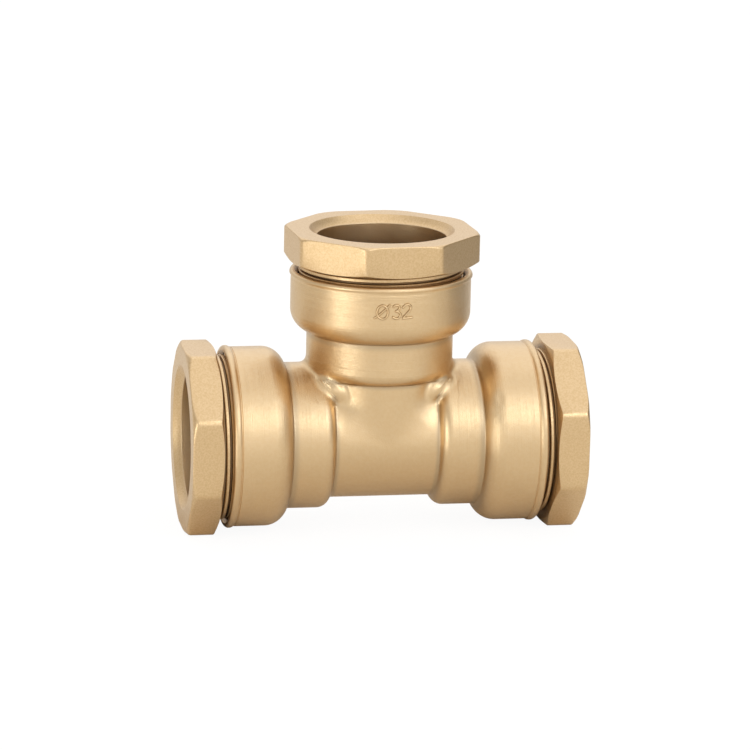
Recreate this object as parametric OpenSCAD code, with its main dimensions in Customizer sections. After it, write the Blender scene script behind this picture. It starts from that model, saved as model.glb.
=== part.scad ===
// Brass compression tee for 32 mm plastic pipe.
// X is the run, +Z is the branch, and the tee stands on one flat of each run nut.
// Places along a port are measured outward from the point where the axes cross.

/* [Pipe] */
// Outside diameter of the pipe that the ports take
pipe_d = 32; // [30:0.5:34]
// Play between the pipe and its socket, on the diameter
socket_play = 0.4; // [0.2:0.1:0.8]
// Width of the stop that the pipe's end meets, on the radius
stop_ledge = 3.2; // [3:0.1:5]

/* [Forged body] */
// Wall of the tubes that cross in the middle, round the waterway
tube_wall = 2.85; // [2.5:0.05:3.5]
// Wall of a neck, round the socket
neck_wall = 2.2; // [1.8:0.1:3]
// Wall of a cup, round the threaded bore
cup_wall = 1.7; // [1.5:0.1:3]
// How far the bead stands out round each cup's mouth
bead_rise = 0.35; // [0.25:0.05:0.8]
// How far inside the tube's radius a run port's neck starts
neck_tuck = 3.05; // [0:0.05:3.5]
// Length of a neck, up to its cup
neck_len = 11; // [9:0.5:20]
// Length of a cup, from its neck to its mouth
cup_len = 15.7; // [14:0.1:22]
// How much further out the branch port sits than a run port
branch_extra = 2.9; // [1.5:0.1:10]
// Convex rounding at the inner end of a neck
neck_round = 3; // [1:0.1:4]
// Convex rounding at the inner end of a cup
cup_round = 5.6; // [4:0.1:7]
// Concave fillet at the foot of each step
foot_round = 0.7; // [0.2:0.1:1]
// Length of the bead, from its crease to the mouth
bead_len = 2.1; // [1.5:0.1:3]
// Rounding of the bead's outer edge
bead_round = 0.9; // [0.3:0.1:1.2]
// Depth of the crease behind the bead
crease_depth = 0.15; // [0.05:0.05:0.3]

/* [Socket and seal] */
// Wall between the start of a neck and the pipe stop
stop_wall = 2.5; // [2:0.1:4]
// How far inside a cup the seal's seat lies
seat_inset = 2.7; // [2.3:0.1:4]
// Width of the seat's flat, outside the socket
seat_flat = 2.9; // [2:0.1:3.2]
// Depth of the seal chamber outside the socket
chamber_depth = 4.1; // [3.8:0.1:4.4]
// Thickness of the rubber seal ring
seal_t = 3.6; // [2.5:0.1:3.8]
// Gap left beside the seal ring
seal_gap = 0.05; // [0.02:0.01:0.1]
// Thickness of the thrust ring
thrust_t = 2; // [1:0.1:2.4]
// Play round the thrust ring, on the radius
thrust_play = 0.2; // [0.1:0.05:0.4]

/* [Nut thread] */
// Step from the seal chamber up to the threaded bore, on the radius
thread_step = 0.6; // [0.3:0.1:0.8]
// Length of the threaded bore
thread_len = 8.5; // [7:0.1:9.5]
// Play between the nut's thread and the body's, on the radius
thread_play = 0.2; // [0.15:0.05:0.3]
// Chamfer at the mouth of the threaded bore
mouth_chamfer = 0.8; // [0.3:0.1:1]

/* [Nuts] */
// How far a nut's flats stand out past the bead
flat_lift = 0.05; // [0.05:0.05:2]
// Thickness of a nut's head
head_t = 7.9; // [6:0.1:12]
// Gap between a cup's mouth and the back of its nut's head
head_gap = 2.4; // [1.5:0.1:3]
// Gap between a nut's tail and its thrust ring, before tightening
tail_gap = 1.4; // [1:0.1:2]
// Play between the pipe and the nut's bore, on the diameter
nut_play = 0.5; // [0.3:0.1:1]
// Chamfer at the entry of the nut's bore
entry_chamfer = 1.25; // [0.5:0.05:2]
// How much of each sharp corner is turned away, on the radius
corner_trim = 0.25; // [0.1:0.05:0.6]
// Height of the bevel on the back of the head, on the radius
back_bevel = 1.75; // [0.8:0.05:2.5]
// Slope of that bevel, in degrees
bevel_slope = 19; // [10:1:55]
// How far the outer face of the head reaches past the flats, on the radius
face_land = 0.25; // [0.1:0.05:0.8]
// Slope of the chamfer round that face, in degrees
face_slope = 42; // [20:1:55]
// Turn of the branch nut about its axis, in degrees
branch_turn = 4; // [-22.5:0.5:22.5]

/* [Grip rings] */
// Length of a grip ring
grip_len = 5.8; // [5:0.1:6]
// Slope of the cone that closes the ring, in degrees
grip_slope = 12; // [8:0.5:14]
// Gap between the ring and the nut's cone, on the radius
grip_gap = 0.3; // [0.2:0.05:0.4]
// Wall of a nut's tail at its end
tail_wall = 1.4; // [1.2:0.1:1.8]
// Play between the ring's teeth and the pipe, on the diameter
tooth_play = 0.4; // [0.2:0.1:0.6]
// Number of teeth in a ring
tooth_count = 4; // [2:1:6]
// Depth of a tooth
tooth_depth = 0.6; // [0.3:0.1:0.8]
// Width of the slot that splits the ring
split_w = 3; // [1.5:0.5:6]
// Axial gap between the ring and the shoulders at its ends
grip_end_gap = 0.2; // [0.1:0.05:0.4]

/* [Hidden] */

$fn = 96;
OCTAGON = 8;
STEPS = 8;
PAST = 1;

// Radii of a port, each a wall or a step from the one inside it
socket_r = (pipe_d + socket_play) / 2;
waterway_r = socket_r - stop_ledge;
tube_r = waterway_r + tube_wall;
neck_r = socket_r + neck_wall;
chamber_r = socket_r + chamber_depth;
thread_r = chamber_r + thread_step;
cup_r = thread_r + cup_wall;
bead_r = cup_r + bead_rise;
flat_r = bead_r + flat_lift;

// Height of the run's axis, with the nuts' flats on the ground
axis_z = flat_r;

neck_start = tube_r - neck_tuck;
cup_start = neck_start + neck_len;
mouth = cup_start + cup_len;
crease = mouth - bead_len;
stop = neck_start + stop_wall;
seat = cup_start + seat_inset;
thread_start = mouth - thread_len;

seal_r = seal_t / 2;
seal_mid_r = socket_r + seal_gap + seal_r;
seal_mid = seat + seal_gap + seal_r;
thrust_start = seal_mid + seal_r + seal_gap;
thrust_end = thrust_start + thrust_t;

head_back = mouth + head_gap;
head_face = head_back + head_t;
tail_end = thrust_end + tail_gap;
tail_len = head_back - tail_end;
tail_r = thread_r - thread_play;
nut_bore_r = (pipe_d + nut_play) / 2;
corner_r = flat_r / cos(180 / OCTAGON);
head_r = corner_r - corner_trim;
// The back bevel starts where the flats are widest
bevel_r = head_r - back_bevel;
bevel_len = back_bevel * tan(bevel_slope);
face_r = flat_r + face_land;
face_len = (head_r - face_r) * tan(face_slope);

grip_start = tail_end + grip_end_gap;
grip_end = grip_start + grip_len;
cone_end = grip_end + grip_end_gap;
cone_r = tail_r - tail_wall;
cone_end_r = cone_r - (cone_end - tail_end) * tan(grip_slope);
grip_start_r = cone_r - (grip_start - tail_end) * tan(grip_slope) - grip_gap;
grip_end_r = grip_start_r - grip_len * tan(grip_slope);
tooth_r = (pipe_d + tooth_play) / 2;
tooth_pitch = grip_len / tooth_count;

// Points of an arc round [r, s], from angle a to angle b
function arc(r, s, radius, a, b) =
    [for (i = [0:STEPS]) let (t = a + (b - a) * i / STEPS) [r + radius * cos(t), s + radius * sin(t)]];

// Step from radius r_a up to r_b that starts at place s: a concave foot, then a convex shoulder
function step_turn(rise, foot, shoulder) = acos(max(0, 1 - rise / (foot + shoulder)));
function step_up(s, r_a, r_b, foot, shoulder) =
    let (turn = step_turn(r_b - r_a, foot, shoulder))
    concat(
        arc(r_a + foot, s, foot, 180, 180 - turn),
        arc(r_b - shoulder, s + (foot + shoulder) * sin(turn), shoulder, -turn, 0));

// Outside of one port, as [radius, place] points from the axis out to the mouth
function port_outline() = concat(
    [[0, 0], [tube_r, 0]],
    step_up(neck_start, tube_r, neck_r, foot_round, min(neck_round, neck_r - tube_r + foot_round)),
    step_up(cup_start, neck_r, cup_r, foot_round, cup_round),
    [[cup_r, crease - crease_depth], [cup_r - crease_depth, crease], [cup_r, crease + crease_depth]],
    step_up(crease + crease_depth, cup_r, bead_r, crease_depth, bead_round),
    arc(bead_r - bead_round, mouth - bead_round, bead_round, 0, 90),
    [[0, mouth]]);

// Inside of one port: waterway, pipe stop, socket, seal seat and chamber, thread and mouth
function bore_outline() =
    let (seat_r = socket_r + seat_flat)
    [[0, 0], [waterway_r, 0], [waterway_r, stop], [socket_r, stop], [socket_r, seat],
    [seat_r, seat], [chamber_r, seat + chamber_r - seat_r],
    [chamber_r, thread_start], [thread_r, thread_start + thread_step],
    [thread_r, mouth - mouth_chamfer], [thread_r + mouth_chamfer + PAST, mouth + PAST], [0, mouth + PAST]];

// Puts a port's own parts, drawn along +Z from the crossing, in their place on the tee
module at_left() { translate([0, 0, axis_z]) rotate([0, -90, 0]) children(); }
module at_right() { translate([0, 0, axis_z]) rotate([0, 90, 0]) children(); }
module at_branch() { translate([0, 0, axis_z]) children(); }
module beyond_branch() { translate([0, 0, branch_extra]) children(); }

module turned(outline) { rotate_extrude() polygon(outline); }

module branch_tube(radius) { cylinder(r = radius, h = neck_start + branch_extra); }

// One forging with three ports, bored out and threaded from each mouth
module tee_body() {
    color("#cfa468") difference() {
        union() {
            at_left() turned(port_outline());
            at_right() turned(port_outline());
            at_branch() branch_tube(tube_r);
            at_branch() beyond_branch() turned(port_outline());
        }
        at_left() turned(bore_outline());
        at_right() turned(bore_outline());
        at_branch() branch_tube(waterway_r);
        at_branch() beyond_branch() turned(bore_outline());
    }
}

// Octagonal head of a nut, its corners bevelled at the back and chamfered round the face
module nut_head() {
    intersection() {
        translate([0, 0, head_back]) rotate([0, 0, 180 / OCTAGON])
            cylinder(r = corner_r, h = head_t, $fn = OCTAGON);
        turned([[0, head_back], [bevel_r, head_back], [head_r, head_back + bevel_len],
            [head_r, head_face - face_len], [face_r, head_face], [0, head_face]]);
    }
}

// Compression nut: head, threaded tail, cone for the grip ring and a bore for the pipe
module nut() {
    color("#d8b077") difference() {
        union() {
            nut_head();
            translate([0, 0, tail_end]) cylinder(r = tail_r, h = tail_len + head_t / 2);
        }
        turned([[0, tail_end - PAST], [cone_r + PAST * tan(grip_slope), tail_end - PAST],
            [cone_end_r, cone_end], [nut_bore_r, cone_end],
            [nut_bore_r, head_face - entry_chamfer], [nut_bore_r + entry_chamfer + PAST, head_face + PAST],
            [0, head_face + PAST]]);
    }
}

// Split ring with saw teeth inside that bite the pipe, and a cone outside
module grip_ring() {
    teeth = [for (i = [tooth_count - 1:-1:0])
        each [[tooth_r, grip_start + (i + 1) * tooth_pitch], [tooth_r + tooth_depth, grip_start + i * tooth_pitch]]];
    color("#c8964f") difference() {
        turned(concat([[grip_start_r, grip_start], [grip_end_r, grip_end]], teeth));
        translate([0, -split_w / 2, grip_start - PAST]) cube([corner_r, split_w, grip_len + 2 * PAST]);
    }
}

// Flat ring that pushes the seal home
module thrust_ring() {
    inner_r = socket_r + thrust_play;
    color("ivory") difference() {
        translate([0, 0, thrust_start]) cylinder(r = chamber_r - thrust_play, h = thrust_t);
        translate([0, 0, thrust_start - PAST]) cylinder(r = inner_r, h = thrust_t + 2 * PAST);
    }
}

// Rubber seal ring on its seat
module seal_ring() {
    color("#202020") translate([0, 0, seal_mid]) rotate_extrude() translate([seal_mid_r, 0]) circle(r = seal_r);
}

tee_body();
at_left() nut();  // left_nut
at_left() grip_ring();  // left_grip_ring
at_left() thrust_ring();  // left_thrust_ring
at_left() seal_ring();  // left_seal_ring
at_right() nut();  // right_nut
at_right() grip_ring();  // right_grip_ring
at_right() thrust_ring();  // right_thrust_ring
at_right() seal_ring();  // right_seal_ring
at_branch() beyond_branch() rotate([0, 0, branch_turn]) nut();  // branch_nut
at_branch() beyond_branch() grip_ring();  // branch_grip_ring
at_branch() beyond_branch() thrust_ring();  // branch_thrust_ring
at_branch() beyond_branch() seal_ring();  // branch_seal_ring
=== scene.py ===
"""Looks of a brass compression tee: a blasted forging with three threaded octagonal nuts.

Sizes and places are in millimetres, and become metres where a mesh is made. Slopes and the camera's
angles are in degrees, and angles round a port are in radians.
"""

import logging
import math
from collections.abc import Callable
from dataclasses import dataclass, field
from enum import Enum

import bmesh
import bpy
import numpy as np
from mathutils import Matrix, Vector


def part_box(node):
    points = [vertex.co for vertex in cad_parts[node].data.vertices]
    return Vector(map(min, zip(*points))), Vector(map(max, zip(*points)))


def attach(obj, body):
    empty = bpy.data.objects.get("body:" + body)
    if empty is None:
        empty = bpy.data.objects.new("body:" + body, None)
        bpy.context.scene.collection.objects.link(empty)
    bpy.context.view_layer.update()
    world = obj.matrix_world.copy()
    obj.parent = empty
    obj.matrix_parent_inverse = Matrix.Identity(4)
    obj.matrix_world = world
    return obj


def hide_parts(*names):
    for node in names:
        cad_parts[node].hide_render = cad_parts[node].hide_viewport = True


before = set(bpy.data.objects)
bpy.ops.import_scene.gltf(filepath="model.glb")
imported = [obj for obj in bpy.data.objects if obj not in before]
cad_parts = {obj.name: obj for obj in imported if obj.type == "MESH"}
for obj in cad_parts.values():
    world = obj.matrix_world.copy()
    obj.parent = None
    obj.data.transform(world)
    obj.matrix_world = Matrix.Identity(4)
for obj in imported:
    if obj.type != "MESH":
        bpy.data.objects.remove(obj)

log = logging.getLogger("tee")

MM = 0.001
FRONT = np.array([0.0, -1.0, 0.0])
UP = np.array([0.0, 0.0, 1.0])
LEFTWARD = np.array([-1.0, 0.0, 0.0])
RIGHTWARD = np.array([1.0, 0.0, 0.0])


class Slot(Enum):
    """The record's material slots."""

    FORGED = "forged_brass"
    NUT = "nut_brass"
    GRIP = "grip_brass"
    RING = "ring_plastic"
    SEAL = "seal_rubber"


def box_mm(node: str) -> tuple[np.ndarray, np.ndarray]:
    """Corners of a solid of the frame.

    Args:
        node: Name of the solid.

    Returns:
        Lowest and highest corner, in millimetres.
    """
    low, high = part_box(node)
    return np.array(low) / MM, np.array(high) / MM


def eased(value: np.ndarray, start: float, end: float) -> np.ndarray:
    """Share of the way from a start to an end, with a soft beginning and a soft end.

    Args:
        value: Values on the way.
        start: Value at which the share leaves 0.
        end: Value at which it reaches 1.

    Returns:
        Shares from 0 to 1.
    """
    share = np.clip((value - start) / (end - start), 0, 1)
    return share ** 2 * (3 - 2 * share)


def unit(ways: np.ndarray) -> np.ndarray:
    """Vectors brought to a length of 1."""
    return ways / np.linalg.norm(ways, axis=-1, keepdims=True)


def folded(points: np.ndarray) -> np.ndarray:
    """Points mirrored into the quarter of the body with x and y above 0."""
    return np.concatenate([np.abs(points[..., :2]), points[..., 2:]], axis=-1)


@dataclass(frozen=True)
class Port:
    """One of the tee's three ports, with places measured outward from where the axes cross.

    An angle round a port starts at the front and turns towards the port's side direction.
    """

    name: str
    out: np.ndarray
    side: np.ndarray
    extra: float
    centre: np.ndarray

    def across(self, angle: np.ndarray) -> np.ndarray:
        """Unit vectors straight away from the axis, at angles round it."""
        return np.cos(angle)[..., None] * FRONT + np.sin(angle)[..., None] * self.side

    def place(self, s: np.ndarray, r: np.ndarray, angle: np.ndarray) -> np.ndarray:
        """Points of the port in the frame.

        Args:
            s: Places along the port, as on a run port.
            r: Distances from the port's axis.
            angle: Angles round the axis, in radians.

        Returns:
            Points in millimetres, with x, y and z on the last axis.
        """
        s, r, angle = np.broadcast_arrays(s, r, angle)
        return self.centre + (s + self.extra)[..., None] * self.out + r[..., None] * self.across(angle)

    def winding(self) -> bool:
        """Whether rings that go outward have to be wound the other way round."""
        return float(np.dot(np.cross(FRONT, self.side), self.out)) < 0


@dataclass
class Surface:
    """Points and faces of one piece while it is being made, in millimetres."""

    points: list[np.ndarray] = field(default_factory=list)
    faces: list[np.ndarray] = field(default_factory=list)
    along: list[np.ndarray] = field(default_factory=list)
    turned: list[np.ndarray] = field(default_factory=list)
    # How far painted shade darkens each point
    painted_shade: list[np.ndarray] = field(default_factory=list)
    count: int = 0

    def add(self, points: np.ndarray, along: np.ndarray | float = 0.0, turned: np.ndarray | float = 0.0,
            painted_shade: np.ndarray | float = 0.0) -> np.ndarray:
        """Adds points.

        Args:
            points: Any array of points.
            along: Place of each point along its port, for the lines left by turning.
            turned: How strongly those lines show at each point.
            painted_shade: How far painted shade darkens each point, in grooves, gaps, creases and recesses.

        Returns:
            The points' numbers, in the shape of the array.
        """
        shape = points.shape[:-1]
        numbers = np.arange(self.count, self.count + int(np.prod(shape))).reshape(shape)
        self.points.append(points.reshape(-1, 3))
        self.along.append(np.broadcast_to(along, shape).reshape(-1).astype(float))
        self.turned.append(np.broadcast_to(turned, shape).reshape(-1).astype(float))
        self.painted_shade.append(np.broadcast_to(painted_shade, shape).reshape(-1).astype(float))
        self.count += numbers.size
        return numbers

    def join(self, ring_a: np.ndarray, ring_b: np.ndarray, flip: bool, closed: bool = True) -> None:
        """Joins two rows of points with four-sided faces.

        Args:
            ring_a: Numbers of the first row.
            ring_b: Numbers of the second row.
            flip: Whether the faces are wound the other way round.
            closed: Whether the rows close on themselves.
        """
        a, b = ring_a, ring_b
        a_next, b_next = np.roll(a, -1), np.roll(b, -1)
        if not closed:
            a, b, a_next, b_next = a[:-1], b[:-1], a_next[:-1], b_next[:-1]
        self.faces.append(np.stack([a, b, b_next, a_next] if flip else [a, a_next, b_next, b], axis=1))

    def chain(self, rows: list[np.ndarray], flip: bool, closed: bool = True) -> None:
        """Joins each row of points with the next.

        Args:
            rows: Numbers of the rows' points.
            flip: Whether the faces are wound the other way round.
            closed: Whether the rows close on themselves.
        """
        for lower, upper in zip(rows, rows[1:]):
            self.join(lower, upper, flip, closed)

    def wrap(self, rows: list[np.ndarray], flip: bool, closed: bool) -> None:
        """Joins rows all round into a tube, and closes its two ends where the rows are open.

        Args:
            rows: Numbers of the rows' points.
            flip: Whether the faces are wound the other way round.
            closed: Whether the rows close on themselves.
        """
        self.chain(rows + rows[:1], flip, closed)
        if not closed:
            for end, turned in ((0, flip), (-1, not flip)):
                loop = np.array([row[end] for row in rows])
                self.faces.append(loop[None, ::-1] if turned else loop[None, :])

    def join_helix(self, rows: list[np.ndarray], climb: int, flip: bool) -> None:
        """Joins rows that follow a helix, each of which meets a later row after one turn.

        Args:
            rows: Numbers of the rows' points.
            climb: How many rows one turn climbs; negative if it goes down.
            flip: Whether the faces are wound the other way round.
        """
        for i, (a, b) in enumerate(zip(rows, rows[1:])):
            self.join(a, b, flip, closed=False)
            if 0 <= i + climb and i + climb + 1 < len(rows):
                a_next, b_next = rows[i + climb][0], rows[i + climb + 1][0]
                quad = [a[-1], b[-1], b_next, a_next] if flip else [a[-1], a_next, b_next, b[-1]]
                self.faces.append(np.array([quad]))

    def relax(self, weight: np.ndarray, rounds: int, settle: Callable[[np.ndarray], np.ndarray]) -> None:
        """Evens out the points made so far, and sets them back on their surface after each round.

        Args:
            weight: How far each point may move towards the middle of its neighbours.
            rounds: Number of rounds.
            settle: Puts points on the surface.
        """
        points = np.concatenate(self.points)
        faces = np.concatenate(self.faces)
        free = (weight > 0) & (np.bincount(faces.ravel(), minlength=len(points)) > 0)
        faces = faces[free[faces].any(axis=1)]
        ends = np.concatenate([faces[:, [i, (i + 1) % 4]] for i in range(4)])
        ends = np.unique(np.sort(ends, axis=1), axis=0)
        ends = np.concatenate([ends, ends[:, ::-1]])
        links = np.bincount(ends[:, 0], minlength=len(points))
        for _ in range(rounds):
            sums = [np.bincount(ends[:, 0], points[ends[:, 1], k], len(points)) for k in range(3)]
            middle = np.stack(sums, axis=1)[free] / links[free, None]
            points[free] = settle(points[free] + weight[free, None] * (middle - points[free]))
        self.points = [points]

    def build(self, name: str, sharp: float, merge: float = 0.0) -> bpy.types.Object:
        """Makes the Blender object.

        Args:
            name: Name of the piece.
            sharp: Angle over which an edge is shaded sharp, in degrees.
            merge: Distance under which points are merged, in millimetres.

        Returns:
            The object, in metres.
        """
        mesh = bpy.data.meshes.new(name)
        faces = [tuple(int(v) for v in face) for block in self.faces for face in block]
        mesh.from_pydata((np.concatenate(self.points) * MM).tolist(), [], faces)
        # Each point's place along its port, the strength of its turning lines, and its painted shade
        for label, values in (("along", self.along), ("turned", self.turned), ("painted_shade", self.painted_shade)):
            attribute = mesh.attributes.new(label, "FLOAT", "POINT")
            attribute.data.foreach_set("value", np.concatenate(values).astype(np.float32))
        if merge > 0:
            work = bmesh.new()
            work.from_mesh(mesh)
            bmesh.ops.remove_doubles(work, verts=work.verts, dist=merge * MM)
            bmesh.ops.dissolve_degenerate(work, edges=work.edges, dist=merge * MM)
            work.to_mesh(mesh)
            work.free()
        mesh.validate()
        mesh.polygons.foreach_set("use_smooth", [True] * len(mesh.polygons))
        mesh.set_sharp_from_angle(angle=math.radians(sharp))
        piece = bpy.data.objects.new(name, mesh)
        bpy.context.scene.collection.objects.link(piece)
        return piece


def arc(s: float, r: float, radius: float, start: float, end: float, steps: int) -> np.ndarray:
    """Points of an arc in a section.

    Args:
        s: Place of the arc's centre along the port.
        r: Distance of the arc's centre from the axis.
        radius: Radius of the arc.
        start: First angle, in radians, from straight outward towards the mouth.
        end: Last angle.
        steps: Number of steps.

    Returns:
        Array of places and distances.
    """
    turn = np.linspace(start, end, steps + 1)
    return np.stack([s + radius * np.sin(turn), r + radius * np.cos(turn)], axis=1)


def step_up(s: float, low: float, high: float, foot: float, shoulder: float, steps: int) -> np.ndarray:
    """Section of a step: a concave foot that runs into a convex shoulder.

    Args:
        s: Place where the step starts.
        low: Distance from the axis before the step.
        high: Distance from the axis after it.
        foot: Radius of the foot.
        shoulder: Radius of the shoulder.
        steps: Number of steps along the shoulder.

    Returns:
        Array of places and distances.
    """
    turn = math.acos(max(0.0, 1 - (high - low) / (foot + shoulder)))
    foot_arc = arc(s, low + foot, foot, math.pi, math.pi - turn, max(3, steps // 3))
    shoulder_arc = arc(s + (foot + shoulder) * math.sin(turn), high - shoulder, shoulder, -turn, 0, steps)
    return np.concatenate([foot_arc, shoulder_arc[1:]])


@dataclass(frozen=True)
class Dent:
    """A shallow dent that the forging die and tumbling left on a cup's shoulder."""

    port: str
    place: float
    angle: float
    depth: float
    length: float
    width: float


DENTS = (Dent("right", place=25.9, angle=1.1, depth=0.30, length=1.3, width=3.0),
         Dent("right", place=27.6, angle=0.62, depth=0.22, length=0.8, width=1.6),
         Dent("right", place=28.0, angle=1.25, depth=0.12, length=1.2, width=2.0),
         Dent("left", place=29.5, angle=1.45, depth=0.22, length=0.9, width=1.2),
         Dent("left", place=27.4, angle=1.2, depth=0.15, length=1.4, width=2.4))
CUP_R = 22.6
NUT_LOOKS = {
    "left": {"turn": math.radians(22.5), "face_r": 23.5, "edge_round": 0.7},
    "right": {"turn": math.radians(22.5), "face_r": 23.6, "edge_round": 0.45},
    "branch": {"turn": math.radians(18.5), "face_r": 24.1, "edge_round": 0.5}}
# By port: numbers and points of a closed seam
Seams = dict[str, tuple[np.ndarray, np.ndarray]]
# Places and radii, or points and heights, of rows of points
Rows = list[tuple[np.ndarray | float, np.ndarray | float]]


@dataclass
class TeeBody:
    """The forging: three ports whose tubes cross in the middle, bored out from each mouth."""

    ports: list[Port]
    mouth: float
    bead_r: float
    # Outside
    tube_r: float = 15.85
    neck_r: float = 18.4
    cup_r: float = CUP_R
    neck_start: float = 12.8
    cup_start: float = 23.8
    neck_round: float = 3.0
    cup_round: float = 5.6
    foot_round: float = 0.45
    bead_len: float = 2.1
    bead_round: float = 0.9
    crease_depth: float = 0.17
    soft_crease: float = 0.03
    flare_round: float = 2.6
    crotch_round: float = 2.4
    fairing_round: float = 15.0
    fairing_from: float = 9.5
    fairing_to: float = 14.6
    most_reach: float = 3.2
    # Bore
    waterway_r: float = 13.0
    socket_r: float = 16.2
    stop: float = 15.3
    seat: float = 26.5
    seat_r: float = 19.1
    chamber_r: float = 20.3
    thread_r: float = 20.9
    thread_len: float = 8.5
    mouth_chamfer: float = 0.8
    # Small edges, and rows of points near them
    bead_foot: float = 0.12
    bead_shoulder: float = 1.1
    cup_lead: float = 0.4
    cup_rows: tuple[float, float] = (31.5, 34.5)
    crease_rows: tuple[float, float, float, float] = (-0.45, -0.2, -0.07, 0.05)
    edge_soft: float = 0.02
    rim_edge: tuple[tuple[float, float], ...] = ((0.0, 0.12), (-0.03, 0.03), (-0.1, -0.07))
    thread_runout: float = 0.6
    socket_edge: float = 0.15
    stop_edge: float = 0.3
    bore_lead: float = 0.8
    # Where turning lines show, and where painted shade darkens the inside of the mouth and the creases at
    # the feet of the steps
    bore_turned: float = 0.6
    turned_from: float = 1.0
    turned_over: float = 3.0
    chamber_shade: tuple[float, float] = (0.5, 0.9)
    crease_reach: tuple[float, float] = (0.8, 1.3)
    crease_place: float = 0.15
    crease_shade_strength: float = 0.45
    # Rows and rings of the mesh
    half_ring: int = 80
    middle_rows: int = 58
    inner_rows: int = 7
    neck_steps: int = 14
    cup_steps: int = 18
    bead_steps: tuple[int, int] = (6, 7)
    middle_end: float = 22.5
    blend_from: float = 17.5
    row_gap: float = 0.5
    neck_gap: float = 0.2
    neck_rows: tuple[float, float] = (-1.0, 4.5)
    seam_gap: float = 0.25
    seam_rows: float = 2.5
    seam_far: float = 28.0
    seam_steps: int = 4000
    row_steps: int = 400
    seam_reach: tuple[float, float] = (-0.2, 3.0)
    arm_reach: tuple[float, float] = (-0.5, 3.5)
    # Steps of the search for the surface
    fine_step: float = 0.02
    average_over: int = 11
    ray_steps: int = 32
    halvings: int = 16
    settle_rounds: int = 2
    least_slope: float = 0.2
    most_move: float = 0.4
    # Raised corners of the crotch
    corner: tuple[float, float, float] = (13.7, 8.6, 14.8)
    corner_reach: float = 7.5
    corner_fade: float = 2.5
    corner_pull: float = 0.6
    corner_rounds: int = 100
    lump: tuple[float, float, float] = (13.6, 10.3, 14.7)
    lump_faces: tuple[float, float, float] = (0.54, 0.82, 0.18)
    lump_along: tuple[float, float, float] = (0.53, -0.66, 0.53)
    lump_radii: tuple[float, float, float] = (3.8, 2.3, 1.75)
    lump_blend: float = 1.8
    dents: tuple[Dent, ...] = ()

    def outer_section(self) -> np.ndarray:
        """Section of a port's outside, from the crossing to the crease behind its bead."""
        return np.concatenate([
            [[-self.mouth, self.tube_r]],
            step_up(self.neck_start, self.tube_r, self.neck_r, self.foot_round, self.neck_round,
                    self.neck_steps),
            self.cup_step(),
            [[self.mouth, self.cup_r]]])

    def cup_step(self) -> np.ndarray:
        """Section of the step from a port's neck up to its cup."""
        return step_up(self.cup_start, self.neck_r, self.cup_r, self.foot_round, self.cup_round,
                       self.cup_steps)

    def fine_section(self) -> tuple[np.ndarray, np.ndarray, np.ndarray]:
        """Radius and slope of a port's outside at evenly spaced places.

        Returns:
            The places, and the radius and the slope at each.
        """
        section = self.outer_section()
        places = np.arange(-self.mouth, self.mouth, self.fine_step)
        radii = np.interp(places, section[:, 0], section[:, 1])
        padded = np.pad(radii, self.average_over // 2, mode="edge")
        radii = np.convolve(padded, np.ones(self.average_over) / self.average_over, mode="valid")
        return places, radii, np.gradient(radii, places)

    def tube_field(self, points: np.ndarray, port: Port) -> tuple[np.ndarray, np.ndarray]:
        """Distance of points from the outside of one port's tube, and the way outward.

        Args:
            points: Points measured from the crossing.
            port: The port.

        Returns:
            Signed distances, and unit vectors straight away from the axis.
        """
        places, radii, slopes = self.fine_section()
        t = points @ port.out
        across = points - t[..., None] * port.out
        reach = np.linalg.norm(across, axis=-1)
        s = t - port.extra
        radius = np.interp(s, places, radii)
        slope = np.interp(s, places, slopes)
        distance = (reach - radius) / np.sqrt(1 + slope ** 2)
        behind = t < 0
        whole = np.linalg.norm(points, axis=-1)
        distance = np.where(behind, whole - self.tube_r, distance)
        away = np.where(behind[..., None], points / np.maximum(whole, 1e-6)[..., None],
                        across / np.maximum(reach, 1e-6)[..., None])
        return distance, away

    def field(self, points: np.ndarray) -> np.ndarray:
        """Distance from the outside of the body, with a fillet where the tubes meet.

        Args:
            points: Points measured from the crossing.

        Returns:
            Signed distances, negative inside the metal.
        """
        left, right, branch = self.ports
        is_left = points[..., 0] < 0
        run_left, away_left = self.tube_field(points, left)
        run_right, away_right = self.tube_field(points, right)
        run = np.where(is_left, run_left, run_right)
        away_run = np.where(is_left[..., None], away_left, away_right)
        up, away_up = self.tube_field(points, branch)
        likeness = np.clip(np.sum(away_run * away_up, axis=-1), 0, 1)
        share = eased(np.abs(points[..., 1]), self.fairing_from, self.fairing_to)
        radius = self.crotch_round + share * (self.fairing_round - self.crotch_round)
        reach = np.minimum(radius * (1 - likeness), self.most_reach)
        overlap = np.maximum(reach - np.abs(run - up), 0)
        both = np.minimum(run, up) - overlap ** 2 / (4 * reach + 1e-6)
        faces, along = (np.array(way) / np.linalg.norm(way) for way in (self.lump_faces, self.lump_along))
        axes = np.stack([along, np.cross(faces, along), faces], axis=1)
        turned = (folded(points) - np.array(self.lump)) @ axes
        radii = np.array(self.lump_radii)
        scaled = np.linalg.norm(turned / radii, axis=-1)
        lump = scaled * (scaled - 1) / np.maximum(np.linalg.norm(turned / radii ** 2, axis=-1), 1e-6)
        overlap = np.maximum(self.lump_blend - np.abs(both - lump), 0)
        return np.minimum(both, lump) - overlap ** 2 / (4 * self.lump_blend)

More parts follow.
